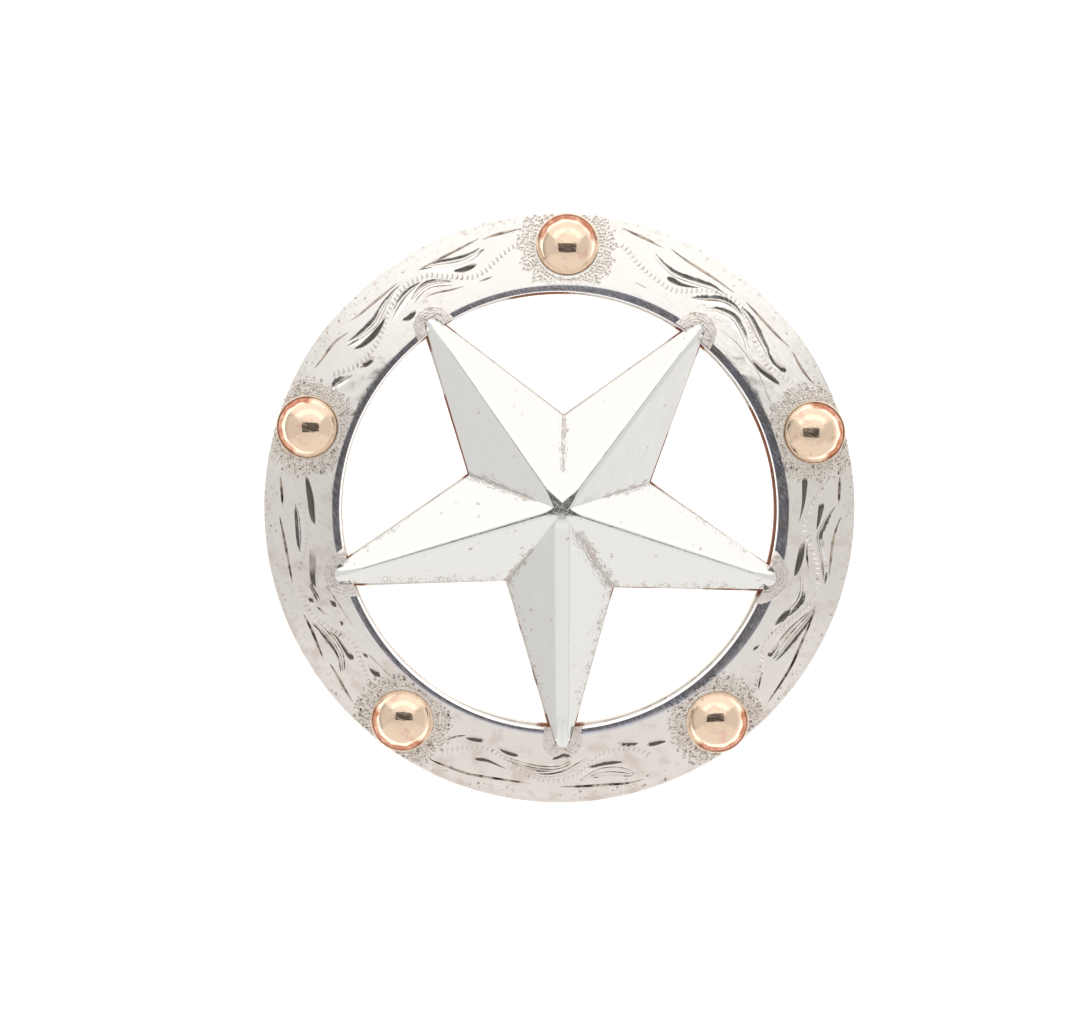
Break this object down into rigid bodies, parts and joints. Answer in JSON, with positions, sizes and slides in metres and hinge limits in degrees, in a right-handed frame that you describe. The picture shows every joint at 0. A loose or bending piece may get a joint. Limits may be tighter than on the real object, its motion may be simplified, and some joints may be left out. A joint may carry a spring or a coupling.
{
  "type": "star concho",
  "caption": "Round screw-back concho for belts and saddles: a faceted star let into a pierced, engraved silver rim, with rose-gold domes between its tips.",
  "frame": {"origin": "middle of the flat back, on the plane that it rests on", "axes": "+Z out of the face, -Y along the arm of the star that points down, +X to the right of somebody who looks at the face"},
  "size_m": [0.0444, 0.0444, 0.0065],
  "materials": {
    "bronze_sheet": "aged bronze, brown at the edges",
    "engraved_silver": "polished silver with hand engraving and light tarnish",
    "polished_silver": "polished silver with small scratches and tarnish in the valleys",
    "rose_gold": "polished rose gold",
    "socket_brass": "turned brass"
  },
  "bodies": {
    "root": {"back_plate": "bronze_sheet", "rim": "engraved_silver", "star": "polished_silver", "dome_1": "rose_gold", "dome_2": "rose_gold", "dome_3": "rose_gold", "dome_4": "rose_gold", "dome_5": "rose_gold", "screw_socket": "socket_brass"}
  },
  "joints": []
}
